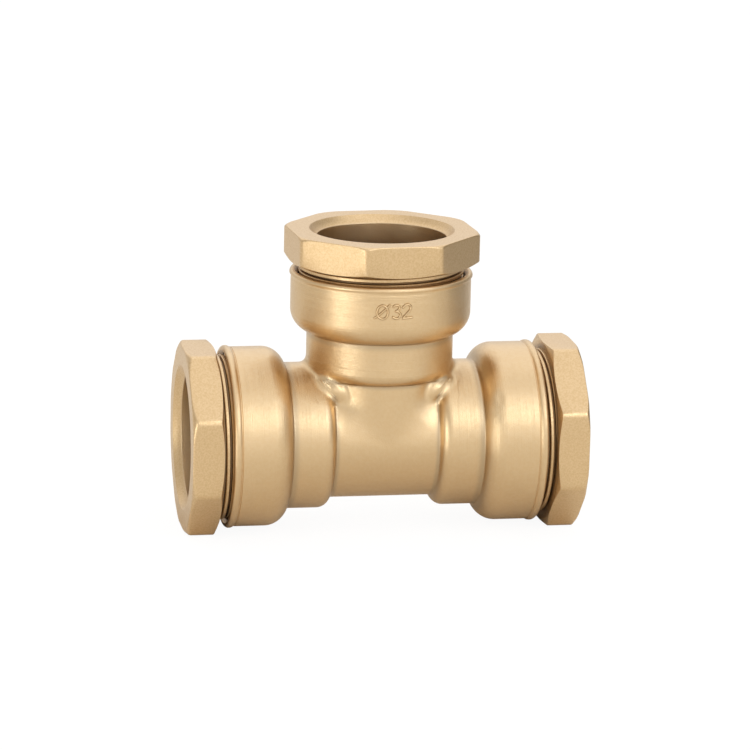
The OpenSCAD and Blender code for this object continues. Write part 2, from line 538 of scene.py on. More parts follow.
    def solve(self, start: np.ndarray, way: np.ndarray, low: float, high: float) -> np.ndarray:
        """Finds where rays leave the metal.

        Args:
            start: Points on the rays, measured from the crossing.
            way: Unit vectors along the rays.
            low: Distance along the ray that is inside the metal.
            high: Distance along the ray that is outside.

        Returns:
            Points on the outside of the body.
        """
        steps = np.linspace(low, high, self.ray_steps)
        near = np.full(start.shape[:-1], low)
        far = np.full(start.shape[:-1], high)
        found = np.zeros(start.shape[:-1], bool)
        for before, step in zip(steps, steps[1:]):
            leaves = ~found & (self.field(start + step * way) >= 0)
            near, far = np.where(leaves, before, near), np.where(leaves, step, far)
            found |= leaves
        for _ in range(self.halvings):
            middle = (near + far) / 2
            inside = self.field(start + middle[..., None] * way) < 0
            near = np.where(inside, middle, near)
            far = np.where(inside, far, middle)
        return start + ((near + far) / 2)[..., None] * way

    def settle(self, points: np.ndarray) -> np.ndarray:
        """Moves points near the outside of the body onto it.

        Args:
            points: Points measured from the crossing.

        Returns:
            The points on the outside.
        """
        step = self.fine_step
        for _ in range(self.settle_rounds):
            level = self.field(points)
            ahead = [self.field(points + step * way) for way in np.eye(3)]
            slope = np.stack([(value - level) / step for value in ahead], axis=-1)
            size = np.maximum(np.sum(slope ** 2, axis=-1), self.least_slope)
            move = slope * (level / size)[..., None]
            points = points - np.clip(move, -self.most_move, self.most_move)
        return points

    def crotch_seam(self) -> np.ndarray:
        """Points from front to back along the line where the left run tube meets the branch.

        Returns:
            Points of the seam, measured from the crossing.
        """
        branch = self.ports[2]
        places, radii, _ = self.fine_section()
        here = places >= 0
        s, r = places[here], radii[here]
        tube = np.arange(0, branch.extra, self.fine_step)
        branch_s = np.concatenate([tube, s + branch.extra])
        branch_whole = np.concatenate([np.sqrt(tube ** 2 + self.tube_r ** 2),
                                       np.sqrt((s + branch.extra) ** 2 + r ** 2)])
        rho = np.linspace(self.tube_r, self.seam_far, self.seam_steps)
        x = np.interp(rho, np.sqrt(s ** 2 + r ** 2), s)
        z = np.interp(rho, branch_whole, branch_s)
        y_square = rho ** 2 - x ** 2 - z ** 2
        good = y_square >= 0
        x, z, y = x[good], z[good], np.sqrt(y_square[good])
        x, z, y = np.append(x, x[-1]), np.append(z, z[-1]), np.append(y, 0.0)
        angle = np.arctan2((x + z) / 2, y)
        quarter = np.linspace(0, math.pi / 2, self.half_ring // 2 + 1)
        x, y, z = (np.interp(quarter, angle, v) for v in (x, y, z))
        crease = np.stack([-x, -y, z], axis=1)
        crease = np.concatenate([crease, (crease * [1, -1, 1])[-2::-1]])
        way = unit(unit(crease * [0, 1, 1]) + unit(crease * [1, 1, 0]))
        return self.solve(crease, way, *self.seam_reach)

    def arm_rings(self, port: Port, seam: np.ndarray) -> tuple[np.ndarray, np.ndarray]:
        """Rows of points on the outside of one arm, from its seam to where its plain section starts.

        Args:
            port: The arm's port.
            seam: Points of the arm's seam, a closed ring measured from the crossing.

        Returns:
            Points with rows on the first axis, and their places along the port.
        """
        start = seam @ port.out - port.extra
        seam_angle = np.unwrap(np.arctan2(seam @ port.side, seam @ FRONT))
        seam_angle -= 2 * math.pi * round(seam_angle[0] / (2 * math.pi))
        even = np.arange(len(seam)) * math.pi / self.half_ring
        fine = np.linspace(0, 1, self.row_steps)
        shares = np.linspace(0, 1, self.middle_rows + 1)[1:]
        places = np.empty((self.middle_rows, len(seam)))
        for j, low in enumerate(start):
            s = low + fine * (self.middle_end - low)
            at_neck = (s > self.neck_start + self.neck_rows[0]) & (s < self.neck_start + self.neck_rows[1])
            at_seam = s < low + self.seam_rows
            density = 1 / self.row_gap + at_neck / self.neck_gap + at_seam / self.seam_gap
            total = np.concatenate([[0], np.cumsum((density[1:] + density[:-1]) / 2)])
            places[:, j] = np.interp(shares * total[-1], total, s)
        blend = eased(places, self.blend_from, self.middle_end)
        across = port.across(seam_angle + blend * (even - seam_angle))
        base = (places + port.extra)[..., None] * port.out
        outer = self.outer_section()
        radius = np.interp(places, outer[:, 0], outer[:, 1])
        return self.solve(base + radius[..., None] * across, across, *self.arm_reach), places

    def plain_section(self, port: Port) -> tuple[np.ndarray, np.ndarray]:
        """Section of one port from its neck round the mouth and back in to the waterway.

        Args:
            port: The port. The branch's bead is a soft flare, those of the run have a crease.

        Returns:
            Array of places and distances, and how far painted shade darkens each.
        """
        crease = self.mouth - self.bead_len
        soft = port.extra > 0
        cut = self.cup_r - (self.soft_crease if soft else self.crease_depth)
        foot_steps, rim_steps = self.bead_steps
        foot = step_up(crease + self.bead_foot, self.cup_r - self.bead_foot / 2, self.bead_r,
                       self.flare_round if soft else self.bead_foot, self.bead_shoulder, foot_steps)
        foot[:, 0] = np.minimum(foot[:, 0], self.mouth - self.bead_round - self.edge_soft)
        near, edge, cut_from, cut_to = (crease + place for place in self.crease_rows)
        outside = np.concatenate([
            [[self.cup_start - self.cup_lead, self.neck_r]], self.cup_step(),
            [[place, self.cup_r] for place in (*self.cup_rows, near)],
            [[edge, self.cup_r - self.edge_soft], [cut_from, cut], [cut_to, cut]], foot,
            arc(self.mouth - self.bead_round, self.bead_r - self.bead_round, self.bead_round,
                0, math.pi / 2, rim_steps)])
        rim = self.thread_r + self.mouth_chamfer
        thread_start = self.mouth - self.thread_len
        inside = np.array([[self.mouth + s, rim + r] for s, r in self.rim_edge] + [
            [self.mouth - self.mouth_chamfer, self.thread_r],
            [thread_start + self.thread_runout, self.thread_r], [thread_start, self.chamber_r],
            [self.seat + self.chamber_r - self.seat_r, self.chamber_r], [self.seat, self.seat_r],
            [self.seat, self.socket_r + self.socket_edge], [self.seat - self.socket_edge, self.socket_r],
            [self.stop, self.socket_r], [self.stop, self.waterway_r + self.stop_edge],
            [self.stop - self.stop_edge, self.waterway_r]])
        # Painted shade inside the mouth: none outside, some at the mouth's edge, most over the thread, the
        # chamber and the seat, none from the stop inward
        at_rim, deep = self.chamber_shade
        shade_level = [np.zeros(len(outside) + 2), [at_rim], np.full(len(inside) - 6, deep), np.zeros(3)]
        return np.concatenate([outside, inside]), np.concatenate(shade_level)

    def crease_shade(self, s: np.ndarray) -> np.ndarray:
        """How far painted shade darkens the creases at the feet of the steps, at places along a port."""
        feet = [((s - foot - self.crease_place) / reach) ** 2
                for foot, reach in zip((self.neck_start, self.cup_start), self.crease_reach)]
        return self.crease_shade_strength * (np.exp(-feet[0]) + np.exp(-feet[1]))

    def dented(self, port: Port, s: np.ndarray, r: np.ndarray, angle: np.ndarray) -> np.ndarray:
        """Radii with the port's dents pressed in.

        Args:
            port: The port.
            s: Places along it.
            r: Radii there.
            angle: Angles there.

        Returns:
            The new radii.
        """
        for dent in self.dents:
            if dent.port == port.name:
                turn = (angle - dent.angle + math.pi) % (2 * math.pi) - math.pi
                far = (turn * r / dent.width) ** 2 + ((s - dent.place) / dent.length) ** 2
                r = r - dent.depth * np.exp(-far)
        return r

    def seams(self, surface: Surface) -> dict[str, Seams]:
        """Adds the lines where the tubes meet, outside and in the bore.

        Args:
            surface: The surface to add them to.

        Returns:
            By outer or inner and by port, the numbers and the points of each closed seam.
        """
        turn = np.arange(self.half_ring + 1) * math.pi / self.half_ring
        belly = np.stack([0 * turn, -self.tube_r * np.cos(turn), -self.tube_r * np.sin(turn)], axis=1)
        inner_crotch = self.waterway_r * np.stack([-np.sin(turn), -np.cos(turn), np.sin(turn)], axis=1)
        inner_belly = belly * self.waterway_r / self.tube_r
        centre = self.ports[0].centre
        seams = {}
        for label, over, under in (("outer", self.crotch_seam(), belly),
                                   ("inner", inner_crotch, inner_belly)):
            mirrored = over * [-1, 1, 1]
            left = surface.add(centre + over)
            right = np.concatenate([left[:1], surface.add(centre + mirrored[1:-1]), left[-1:]])
            below = surface.add(centre + under[1:-1])[::-1]
            low = under[-2:0:-1]
            seams[label] = {
                "left": (np.concatenate([left, below]), np.concatenate([over, low])),
                "right": (np.concatenate([right, below]), np.concatenate([mirrored, low])),
                "branch": (np.concatenate([left, right[-2:0:-1]]),
                           np.concatenate([over, mirrored[-2:0:-1]]))}
        return seams

    def arms(self, surface: Surface, seams: Seams) -> dict[str, np.ndarray]:
        """Adds the outside of the arms as far as their plain sections, and evens it out at the crotch.

        Args:
            surface: The surface to add them to.
            seams: The outer seam of each port.

        Returns:
            Numbers of the last row of each arm.
        """
        centre = self.ports[0].centre
        reached = {}
        for port in self.ports:
            ring, seam = seams[port.name]
            rows, places = self.arm_rings(port, seam)
            fade = np.clip((places - self.neck_start - self.turned_from) / self.turned_over, 0, 1)
            # Painted shade in the creases at the feet of the steps
            numbers = surface.add(centre + rows, places, fade, self.crease_shade(places))
            surface.chain([ring, *numbers], port.winding())
            reached[port.name] = numbers[-1]
        points = np.concatenate(surface.points) - centre
        far = np.linalg.norm(folded(points) - np.array(self.corner), axis=1)
        weight = np.clip((self.corner_reach - far) / self.corner_fade, 0, 1) * self.corner_pull
        surface.relax(weight, self.corner_rounds, lambda spots: self.settle(spots - centre) + centre)
        return reached

    def bore(self, surface: Surface, port: Port, last: np.ndarray, ring: np.ndarray,
             seam: np.ndarray) -> None:
        """Adds a port's plain section and its bore, from the arm to the inner seam.

        Args:
            surface: The surface to add them to.
            port: The port.
            last: Numbers of the last row of its arm.
            ring: Numbers of its inner seam.
            seam: Points of its inner seam.
        """
        even = np.arange(2 * self.half_ring) * math.pi / self.half_ring
        rows = [last]
        for (s, r), shade in zip(*self.plain_section(port)):
            radius = self.dented(port, np.full(len(even), s), np.full(len(even), r), even)
            # Painted shade inside the mouth and in the creases at the feet of the steps
            rows.append(surface.add(port.place(s, radius, even), s, 1.0, shade + self.crease_shade(s)))
        reach = seam @ port.out - port.extra
        for share in np.linspace(0, 1, self.inner_rows + 1)[:-1]:
            s = (self.stop - self.bore_lead) + (reach - self.stop + self.bore_lead) * share
            rows.append(surface.add(port.place(s, self.waterway_r, even), s, self.bore_turned))
        surface.chain([*rows, ring], port.winding())

    def build(self) -> bpy.types.Object:
        """Makes the body as one closed mesh.

        Returns:
            The body.
        """
        surface = Surface()
        seams = self.seams(surface)
        reached = self.arms(surface, seams["outer"])
        for port in self.ports:
            self.bore(surface, port, reached[port.name], *seams["inner"][port.name])
        return surface.build("tee_body_forging", sharp=38)


@dataclass
class Nut:
    """A compression nut: octagonal head, threaded tail, cone for the grip ring, bore for the pipe."""

    port: Port
    face: float
    tail_end: float
    across_flats: float
    turn: float
    face_r: float
    edge_round: float
    head_back: float = 41.9
    corner_round: float = 2.4
    bevel_r: float = 22.9
    bevel_slope: float = 24.0
    face_slope: float = 27.0
    bore_r: float = 16.25
    entry: float = 1.65
    entry_depth: float = 1.9
    entry_round: float = 0.3
    cone_r: float = 19.3
    cone_end: float = 39.8
    cone_end_r: float = 17.98
    thread_crest: float = 20.68
    thread_depth: float = 0.8
    pitch: float = 1.5
    # Painted shade in the bore through the head
    bore_shade: float = 0.3
    edge_soft: float = 0.12
    back_rows: tuple[float, float] = (0.5, 0.08)
    edge_row: float = 0.15
    face_rows: tuple[float, float] = (0.25, 0.9)
    thread_start: float = 0.35
    thread_end: float = 0.02
    tail_edge: tuple[float, float] = (0.1, 0.05)
    # Width over which painted shade in the bore fades in, and margin of the grooves' painted shade
    shade_fade: float = 0.1
    face_steps: int = 8
    thread_phases: tuple[float, ...] = (0.0, 0.07, 0.22, 0.33, 0.72, 0.83, 0.96)
    thread_heights: tuple[float, ...] = (0.0, 0.0, 0.86, 1.0, 1.0, 0.86, 0.0, 0.0)
    flat_steps: int = 7
    corner_steps: int = 8

    def angles(self) -> np.ndarray:
        """Angles round the nut, closer together at the corners.

        Returns:
            Angles from a corner, in radians.
        """
        half = self.across_flats / 2
        eighth = math.radians(22.5)
        tangent = eighth - math.atan((half - self.corner_round) * math.tan(eighth) / half)
        corner = np.linspace(-tangent, tangent, self.corner_steps + 1)
        flat = np.linspace(tangent, math.radians(45) - tangent, self.flat_steps + 2)[1:-1]
        octant = np.concatenate([corner, flat])
        return np.concatenate([octant + k * math.pi / 4 for k in range(8)])

    def wall(self, angle: np.ndarray) -> np.ndarray:
        """Radius of the octagon with rounded corners.

        Args:
            angle: Angles from a corner.

        Returns:
            Radii.
        """
        half = self.across_flats / 2
        from_corner = (angle + math.pi / 8) % (math.pi / 4) - math.pi / 8
        flat = half / np.cos(math.pi / 8 - np.abs(from_corner))
        centre = (half - self.corner_round) / math.cos(math.pi / 8)
        inside = np.maximum(self.corner_round ** 2 - (centre * np.sin(from_corner)) ** 2, 0)
        rounded = centre * np.cos(from_corner) + np.sqrt(inside)
        tangent = math.pi / 8 - math.atan((half - self.corner_round) * math.tan(math.pi / 8) / half)
        return np.where(np.abs(from_corner) < tangent, rounded, flat)

    def head_rows(self, angle: np.ndarray) -> Rows:
        """Rows of the head from its back face over the wall to the bore.

        Args:
            angle: Angles from a corner.

        Returns:
            Places and radii of each row.
        """
        wall = self.wall(angle)
        back = np.minimum(wall - self.edge_soft, self.bevel_r)
        rise = wall - back
        length = rise * math.tan(math.radians(self.bevel_slope))
        rows = [(self.head_back, back - inset) for inset in self.back_rows]
        rows += [(self.head_back + share * length, back + share * rise) for share in (0.06, 0.5, 0.94)]
        start = self.head_back + length + self.edge_soft
        cut = np.maximum(wall - self.face_r, 0)
        foot = self.face - cut * math.tan(math.radians(self.face_slope))
        last = foot - self.edge_round - self.edge_row
        rows += [(place, wall) for place in (start, (start + foot) / 2, last)]
        edge = wall - cut - self.edge_round
        for t in np.linspace(0, 1, self.face_steps + 1):
            ends, mids = ((1 - t) ** 3, t ** 3), (3 * t * (1 - t) ** 2, 3 * t ** 2 * (1 - t))
            s = ends[0] * (foot - self.edge_round) + mids[0] * foot + (mids[1] + ends[1]) * self.face
            r = (ends[0] + mids[0]) * wall + mids[1] * (wall - cut) + ends[1] * edge
            rows.append((s, r))
        lip = self.bore_r + self.entry_round
        outer, inner = self.face_rows
        rows += [(self.face, edge - outer), (self.face, lip + self.entry + inner)]
        for share in (1.03, 1.0, 0.55, 0.1):
            rows.append((self.face - max(0.0, (1 - share) * self.entry_depth), lip + share * self.entry))
        for share in (0.5, 0.1, 0.0):
            rows.append((self.face - self.entry_depth - (0.5 - share) * self.entry_round,
                         self.bore_r + share ** 2 * self.entry_round))
        return rows

    def thread_rows(self, angle: np.ndarray) -> Rows:
        """Rows of the tail's thread, each following the helix.

        Args:
            angle: Angles round the nut.

        Returns:
            Places and radii of each row.
        """
        root = self.thread_crest - self.thread_depth
        low, high = self.tail_end + self.thread_start, self.head_back - self.thread_end
        climb = self.pitch * angle / (2 * math.pi) * (-1 if self.port.winding() else 1)
        share = np.array([*self.thread_phases, 1.0])
        height = root + np.array(self.thread_heights) * self.thread_depth
        rows = []
        for k in range(-2, int((high - low) / self.pitch) + 3):
            for phase in self.thread_phases:
                s = np.clip(low + (k + phase) * self.pitch + climb, low, high)
                rows.append((s, np.interp(((s - low - climb) / self.pitch) % 1.0, share, height)))
        return rows

    def lay(self, surface: Surface, rows: Rows, angle: np.ndarray) -> list[np.ndarray]:
        """Adds rows to the nut, with painted shade in the thread's grooves and in the bore.

        Args:
            surface: The surface to add them to.
            rows: Places and radii of each row.
            angle: Angles round the port.

        Returns:
            Numbers of each row's points.
        """
        made = []
        fade = self.shade_fade
        for s, r in rows:
            # Painted shade in the bore through the head and in the thread's grooves
            inside = np.clip((s - self.head_back - fade) / fade, 0, 1) * (r < self.bore_r + fade)
            groove = np.clip((self.thread_crest - r) / self.thread_depth, 0, 1) * (s < self.head_back + fade)
            made.append(surface.add(self.port.place(s, r, angle), s, 0.0, groove + self.bore_shade * inside))
        return made

    def build(self) -> bpy.types.Object:
        """Makes the nut as one closed mesh.

        Returns:
            The nut.
        """
        surface = Surface()
        flip = self.port.winding()
        angle = self.angles()
        turned = angle + self.turn
        root = self.thread_crest - self.thread_depth
        long, deep = self.tail_edge
        tail = self.lay(surface, [(self.tail_end, self.cone_r), (self.tail_end, root - deep),
                                  (self.tail_end + long, root)], turned)
        thread = self.lay(surface, self.thread_rows(angle), turned)
        cone = [(self.cone_end, self.bore_r), (self.cone_end, self.cone_end_r)]
        foot = (self.head_back, root + self.thread_end)
        head = self.lay(surface, [foot, *self.head_rows(angle), *cone], turned)
        climb = len(self.thread_phases)
        surface.join_helix(thread, -climb if flip else climb, flip)
        surface.chain(tail + thread[:1], flip)
        surface.chain(thread[-1:] + head + tail[:1], flip)
        return surface.build(f"{self.port.name}_nut_machined", sharp=32, merge=0.004)


@dataclass
class PortRings:
    """The three rings inside a port: the split grip ring, the thrust ring and the seal."""

    port: Port
    split_at: float
    split: float = 3.0
    grip_start: float = 33.8
    grip_len: float = 5.8
    grip_r: float = 18.957
    grip_slope: float = 12.0
    tooth_r: float = 16.2
    tooth_depth: float = 0.6
    tooth_slope: float = 0.03
    tooth_land: float = 0.1
    teeth: int = 4
    grip_edge: float = 0.12
    grip_slack: float = 0.02
    thrust_start: float = 30.2
    thrust_len: float = 2.0
    thrust_inner_r: float = 16.4
    thrust_r: float = 20.1
    thrust_edge: float = 0.2
    seal_place: float = 28.35
    seal_ring_r: float = 18.05
    seal_r: float = 1.795
    seal_steps: int = 20
    steps: int = 96

    def turned(self, kind: str, section: np.ndarray, split: float = 0.0) -> bpy.types.Object:
        """Makes one ring as a closed mesh.

        Args:
            kind: Which ring it is.
            section: Places and distances round its section.
            split: Width of its gap; 0 if it is whole.

        Returns:
            The ring.
        """
        surface = Surface()
        whole = split == 0
        gap = 0.0 if whole else split / float(section[:, 1].mean())
        start = self.split_at if split else 0.0
        angle = start + np.linspace(gap / 2, 2 * math.pi - gap / 2, self.steps, endpoint=not whole)
        rows = [surface.add(self.port.place(s, r, angle), s, 1.0) for s, r in section]
        surface.wrap(rows, self.port.winding(), closed=whole)
        return surface.build(f"{self.port.name}_{kind}_turned", sharp=35)

    def grip(self) -> bpy.types.Object:
        """Makes the grip ring: a split cone with saw teeth inside.

        Returns:
            The ring.
        """
        soft, slack = self.grip_edge, self.grip_slack
        start, end = self.grip_start, self.grip_start + self.grip_len
        end_r = self.grip_r - self.grip_len * math.tan(math.radians(self.grip_slope))
        root = self.tooth_r + self.tooth_depth
        points = [[start, root], [start, self.grip_r - soft], [start + soft, self.grip_r - slack],
                  [start + self.grip_len - soft, end_r + slack], [end, end_r - soft]]
        pitch = self.grip_len / self.teeth
        for i in reversed(range(self.teeth)):
            tip = start + (i + 1) * pitch
            points += [[tip, self.tooth_r + self.tooth_slope], [tip - self.tooth_land, self.tooth_r]]
            if i:
                points.append([start + i * pitch + slack, root])
        return self.turned("grip_ring", np.array(points), self.split)

    def thrust(self) -> bpy.types.Object:
        """Makes the thrust ring: a flat ring with soft edges.

        Returns:
            The ring.
        """
        low, high, soft = self.thrust_inner_r, self.thrust_r, self.thrust_edge
        start, end = self.thrust_start, self.thrust_start + self.thrust_len
        half = [[start + soft, low], [start, low + soft], [start, high - soft], [start + soft, high]]
        rest = [[end - soft, high], [end, high - soft], [end, low + soft], [end - soft, low]]
        return self.turned("thrust_ring", np.array(half + rest))

    def seal(self) -> bpy.types.Object:
        """Makes the seal: a ring of round section.

        Returns:
            The ring.
        """
        turn = np.arange(self.seal_steps) * 2 * math.pi / self.seal_steps
        section = np.stack([self.seal_place - self.seal_r * np.cos(turn),
                            self.seal_ring_r + self.seal_r * np.sin(turn)], axis=1)
        return self.turned("seal_ring", section)


@dataclass
class SizeMark:
    """The pipe size in raised rounded strokes on the branch cup."""

    port: Port
    radius: float
    middle: float = 33.55
    angle: float = 0.035
    half_width: float = 0.34
    crown: float = 0.7
    rise: float = 0.42
    sink: float = 0.12
    # Painted shade at the feet of the strokes, where they meet the cup
    edge_shade: float = 0.8
    edge_sink: float = 0.01
    least_width: float = 0.03
    across: int = 9
    loop_steps: int = 12
    end_steps: int = 5
    curve_step: float = 0.2

    def strokes(self) -> list[np.ndarray]:
        """Lines of the three signs, in millimetres to the right and up from the mark's middle.

        Returns:
            Points of each line.
        """
        turn = np.linspace(0, 2 * math.pi, self.loop_steps + 1)
        loop = np.stack([-2.67 + 1.36 * np.cos(turn), -0.06 + 1.68 * np.sin(turn)], axis=1)
        bar = np.array([[-4.55, -1.5], [-3.3, -0.55], [-2.1, 0.55], [-0.95, 1.72]])
        three = np.array([[0.0, 1.35], [0.46, 1.70], [1.12, 1.66], [1.5, 1.1], [1.15, 0.46], [0.62, 0.24],
                          [1.3, 0.02], [1.76, -0.62], [1.42, -1.38], [0.62, -1.6], [-0.08, -1.26]])
        two = np.array([[2.38, 1.15], [2.9, 1.7], [3.76, 1.8], [4.36, 1.22], [4.14, 0.42], [3.22, -0.62],
                        [2.42, -1.5], [2.9, -1.53], [3.75, -1.5], [4.66, -1.42]])
        return [loop, bar, three, two]

    def smooth(self, line: np.ndarray, closed: bool) -> np.ndarray:
        """Rounds a line off.

        Args:
            line: Its points.
            closed: Whether its ends meet.

        Returns:
            More points on a smooth curve through them.
        """
        padded = np.concatenate([line[-2:-1], line, line[1:2]]) if closed else np.concatenate(
            [[2 * line[0] - line[1]], line, [2 * line[-1] - line[-2]]])
        made = []
        for a, b, c, d in zip(padded, padded[1:], padded[2:], padded[3:]):
            for t in np.arange(0, 1, self.curve_step):
                made.append(0.5 * (2 * b + (c - a) * t + (2 * a - 5 * b + 4 * c - d) * t ** 2
                                   + (3 * b - a - 3 * c + d) * t ** 3))
        if not closed:
            made.append(line[-1])
        return np.array(made)

    def ridge(self, line: np.ndarray, closed: bool) -> Rows:
        """Rows along a stroke, over its crown and back under it.

        Args:
            line: The stroke's points.
            closed: Whether its ends meet.

        Returns:
            Points to the right and up from the mark's middle, and heights, of each row.
        """
        path = self.smooth(line, closed)
        way = unit(np.roll(path, -1, 0) - np.roll(path, 1, 0) if closed else np.gradient(path, axis=0))
        scale = np.ones(len(path))
        if not closed:
            turn = np.linspace(0, math.pi / 2, self.end_steps + 1)[1:]
            before = path[0] - np.outer(np.sin(turn), way[0]) * self.half_width
            after = path[-1] + np.outer(np.sin(turn), way[-1]) * self.half_width
            scale = np.concatenate([np.cos(turn)[::-1], scale, np.cos(turn)])
            path = np.concatenate([before[::-1], path, after])
            first, last = (np.repeat(end, self.end_steps, 0) for end in (way[:1], way[-1:]))
            way = np.concatenate([first, way, last])
        scale = np.maximum(scale, self.least_width)
        side = np.stack([-way[:, 1], way[:, 0]], axis=1)
        rows = []
        for share in np.linspace(-1, 1, self.across):
            crown = math.cos(share * math.pi / 2) ** self.crown if abs(share) < 1 else 0.0
            spot = path + side * (share * self.half_width * scale)[:, None]
            rows.append((spot, self.rise * scale * crown - self.edge_sink))
        for share in (1, -1):
            spot = path + side * (share * self.half_width * scale)[:, None]
            rows.append((spot, np.full(len(path), -self.sink)))
        return rows

    def build(self) -> bpy.types.Object:
        """Makes the mark as closed ridges on the cup.

        Returns:
            The mark.
        """
        surface = Surface()
        for line in self.strokes():
            closed = bool(np.allclose(line[0], line[-1]))
            grid = []
            for spot, height in self.ridge(line, closed):
                angle = self.angle - spot[:, 0] / self.radius
                points = self.port.place(self.middle + spot[:, 1], self.radius + height, angle)
                # Painted shade, strongest at the feet of the strokes and none on their crowns
                shade_level = self.edge_shade * (1 - np.clip(height / self.rise, 0, 1))
                grid.append(surface.add(points, self.middle, 0.0, shade_level))
            surface.wrap(grid, False, closed)
        return surface.build("size_mark", sharp=60)


class Tree:
    """A short way to write the nodes of a material or of a group."""

    def __init__(self, tree: bpy.types.NodeTree) -> None:
        """Takes the node tree to fill."""
        self.tree = tree

    def feed(self, socket: bpy.types.NodeSocket, value: object) -> None:
        """Feeds an input.

        Args:
            socket: The input.
            value: The output to link to it, or its own value, with a colour as three numbers.
        """
        if isinstance(value, bpy.types.NodeSocket):
            self.tree.links.new(value, socket)
        else:
            socket.default_value = (*value, 1.0) if socket.type == "RGBA" else value

    def node(self, kind: str, **settings: object) -> bpy.types.Node:
        """Adds a node.

        Args:
            kind: Blender's name of the node.
            settings: Properties by name, or what feeds an input, with underscores for spaces.

        Returns:
            The node.
        """
        made = self.tree.nodes.new(kind)
        for key, value in settings.items():
            if hasattr(made, key):
                setattr(made, key, value)
            else:
                self.feed(made.inputs[key.replace("_", " ")], value)
        return made

    def attribute(self, name: str) -> bpy.types.NodeSocket:
        """Adds a node that reads a value of the mesh."""
        return self.node("ShaderNodeAttribute", attribute_name=name).outputs["Fac"]

    def math(self, operation: str, a: object, b: object = 0.0, clamp: bool = False) -> bpy.types.NodeSocket:
        """Adds a math node.

        Args:
            operation: Blender's name of the operation.
            a: First value, a socket or a number.
            b: Second value.
            clamp: Whether the result stays between 0 and 1.

        Returns:
            The result's socket.
        """
        made = self.node("ShaderNodeMath", operation=operation, use_clamp=clamp)
        self.feed(made.inputs[0], a)
        self.feed(made.inputs[1], b)
        return made.outputs[0]

    def span(self, value: bpy.types.NodeSocket, low: float, high: float, to_low: float = 0.0,
             to_high: float = 1.0) -> bpy.types.NodeSocket:
        """Maps a span of values smoothly to another.

        Args:
            value: The value's socket.
            low: Value that maps to to_low.
            high: Value that maps to to_high.
            to_low: Low result.
            to_high: High result.

        Returns:
            The result's socket.
        """
        return self.node("ShaderNodeMapRange", interpolation_type="SMOOTHSTEP", Value=value, From_Min=low,
                         From_Max=high, To_Min=to_low, To_Max=to_high).outputs["Result"]

    def mix(self, factor: object, a: object, b: object) -> bpy.types.NodeSocket:
        """Mixes two colours.

        Args:
            factor: Share of the second colour, a socket or a number.
            a: First colour, a socket or three numbers.
            b: Second colour.

        Returns:
            The colour's socket.
        """
        made = self.node("ShaderNodeMix", data_type="RGBA")
        for index, value in ((0, factor), (6, a), (7, b)):
            self.feed(made.inputs[index], value)
        return made.outputs[2]

    def bump(self, height: bpy.types.NodeSocket, depth: float, under: bpy.types.NodeSocket | None = None,
             strength: float = 1.0) -> bpy.types.NodeSocket:
        """Adds a bump.

        Args:
            height: Its height, from 0 to 1.
            depth: Depth of the full height, in millimetres.
            under: The normal that it is laid on.
            strength: How strongly it shows.

        Returns:
            The new normal.
        """
        made = self.node("ShaderNodeBump", Strength=strength, Distance=depth * MM, Height=height)
        if under is not None:
            self.feed(made.inputs["Normal"], under)
        return made.outputs["Normal"]

    def within(self, way: bpy.types.NodeSocket, aim: tuple[float, float, float], inner: float,
               outer: float) -> bpy.types.NodeSocket:
        """Adds nodes that say how far a direction lies within a soft cone.

        Args:
            way: The direction, a unit vector.
            aim: The cone's axis.
            inner: Angle from the axis up to which the share is 1, in degrees.
            outer: Angle at which it reaches 0.

        Returns:
            The share's socket.
        """
        near = self.node("ShaderNodeVectorMath", operation="DOT_PRODUCT")
        self.feed(near.inputs[0], way)
        self.feed(near.inputs[1], Vector(aim).normalized())
        low, high = math.cos(math.radians(outer)), math.cos(math.radians(inner))
        return self.span(near.outputs["Value"], low, high)


def new_material(name: str) -> tuple[bpy.types.Material, Tree]:
    """Makes an empty material, with the tree to fill.

    Args:
        name: Name of the material.

    Returns:
        The material and its tree.
    """
    made = bpy.data.materials.new(name)
    made.use_nodes = True
    made.node_tree.nodes.clear()
    return made, Tree(made.node_tree)


def new_group(name: str, inputs: tuple[tuple[str, float], ...],
              outputs: tuple[str, ...]) -> tuple[Tree, bpy.types.Node, bpy.types.Node]:
    """Starts a shader node group of plain values.

    Args:
        name: Name of the group.
        inputs: Names and defaults of its inputs.
        outputs: Names of its outputs.

    Returns:
        The tree to fill, and its input and output nodes.
    """
    tree = bpy.data.node_groups.new(name, "ShaderNodeTree")
    for label, default in inputs:
        socket = tree.interface.new_socket(label, in_out="INPUT", socket_type="NodeSocketFloat")
        socket.default_value = default
    for label in outputs:
        tree.interface.new_socket(label, in_out="OUTPUT", socket_type="NodeSocketFloat")
    return Tree(tree), tree.nodes.new("NodeGroupInput"), tree.nodes.new("NodeGroupOutput")


def blast_grain_group() -> bpy.types.NodeTree:
    """Noises of blasted metal, each with its size in mm: pits, a mottled sheen and the forging's waves.

    Returns:
        The group, with the outputs Grain, Mottle and Wave.
    """
    spans = (("Grain", 0.3, 2.0), ("Mottle", 3.0, 3.0), ("Wave", 6.0, 1.0))
    t, given, result = new_group("blast_grain", tuple((name, size) for name, size, _ in spans),
                                 tuple(name for name, _, _ in spans))
    place = t.node("ShaderNodeTexCoord").outputs["Object"]
    for name, _, detail in spans:
        scale = t.math("DIVIDE", 1.0 / MM, given.outputs[name])
        noise = t.node("ShaderNodeTexNoise", Vector=place, Scale=scale, Detail=detail, Roughness=0.6)
        t.feed(result.inputs[name], noise.outputs["Fac"])
    return t.tree


def turning_group() -> bpy.types.NodeTree:
    """Fine rings that turning leaves round a port, where the mesh says that they show.

    Returns:
        The group, with the output Height.
    """
    t, given, result = new_group("turning_lines", (("Spacing", 0.25),), ("Height",))
    place = t.math("DIVIDE", t.attribute("along"), given.outputs["Spacing"])
    fine = t.node("ShaderNodeTexNoise", noise_dimensions="1D", W=place, Scale=1.0, Detail=3.0, Roughness=0.7)
    t.feed(result.inputs["Height"], t.math("MULTIPLY", fine.outputs["Fac"], t.attribute("turned")))
    return t.tree


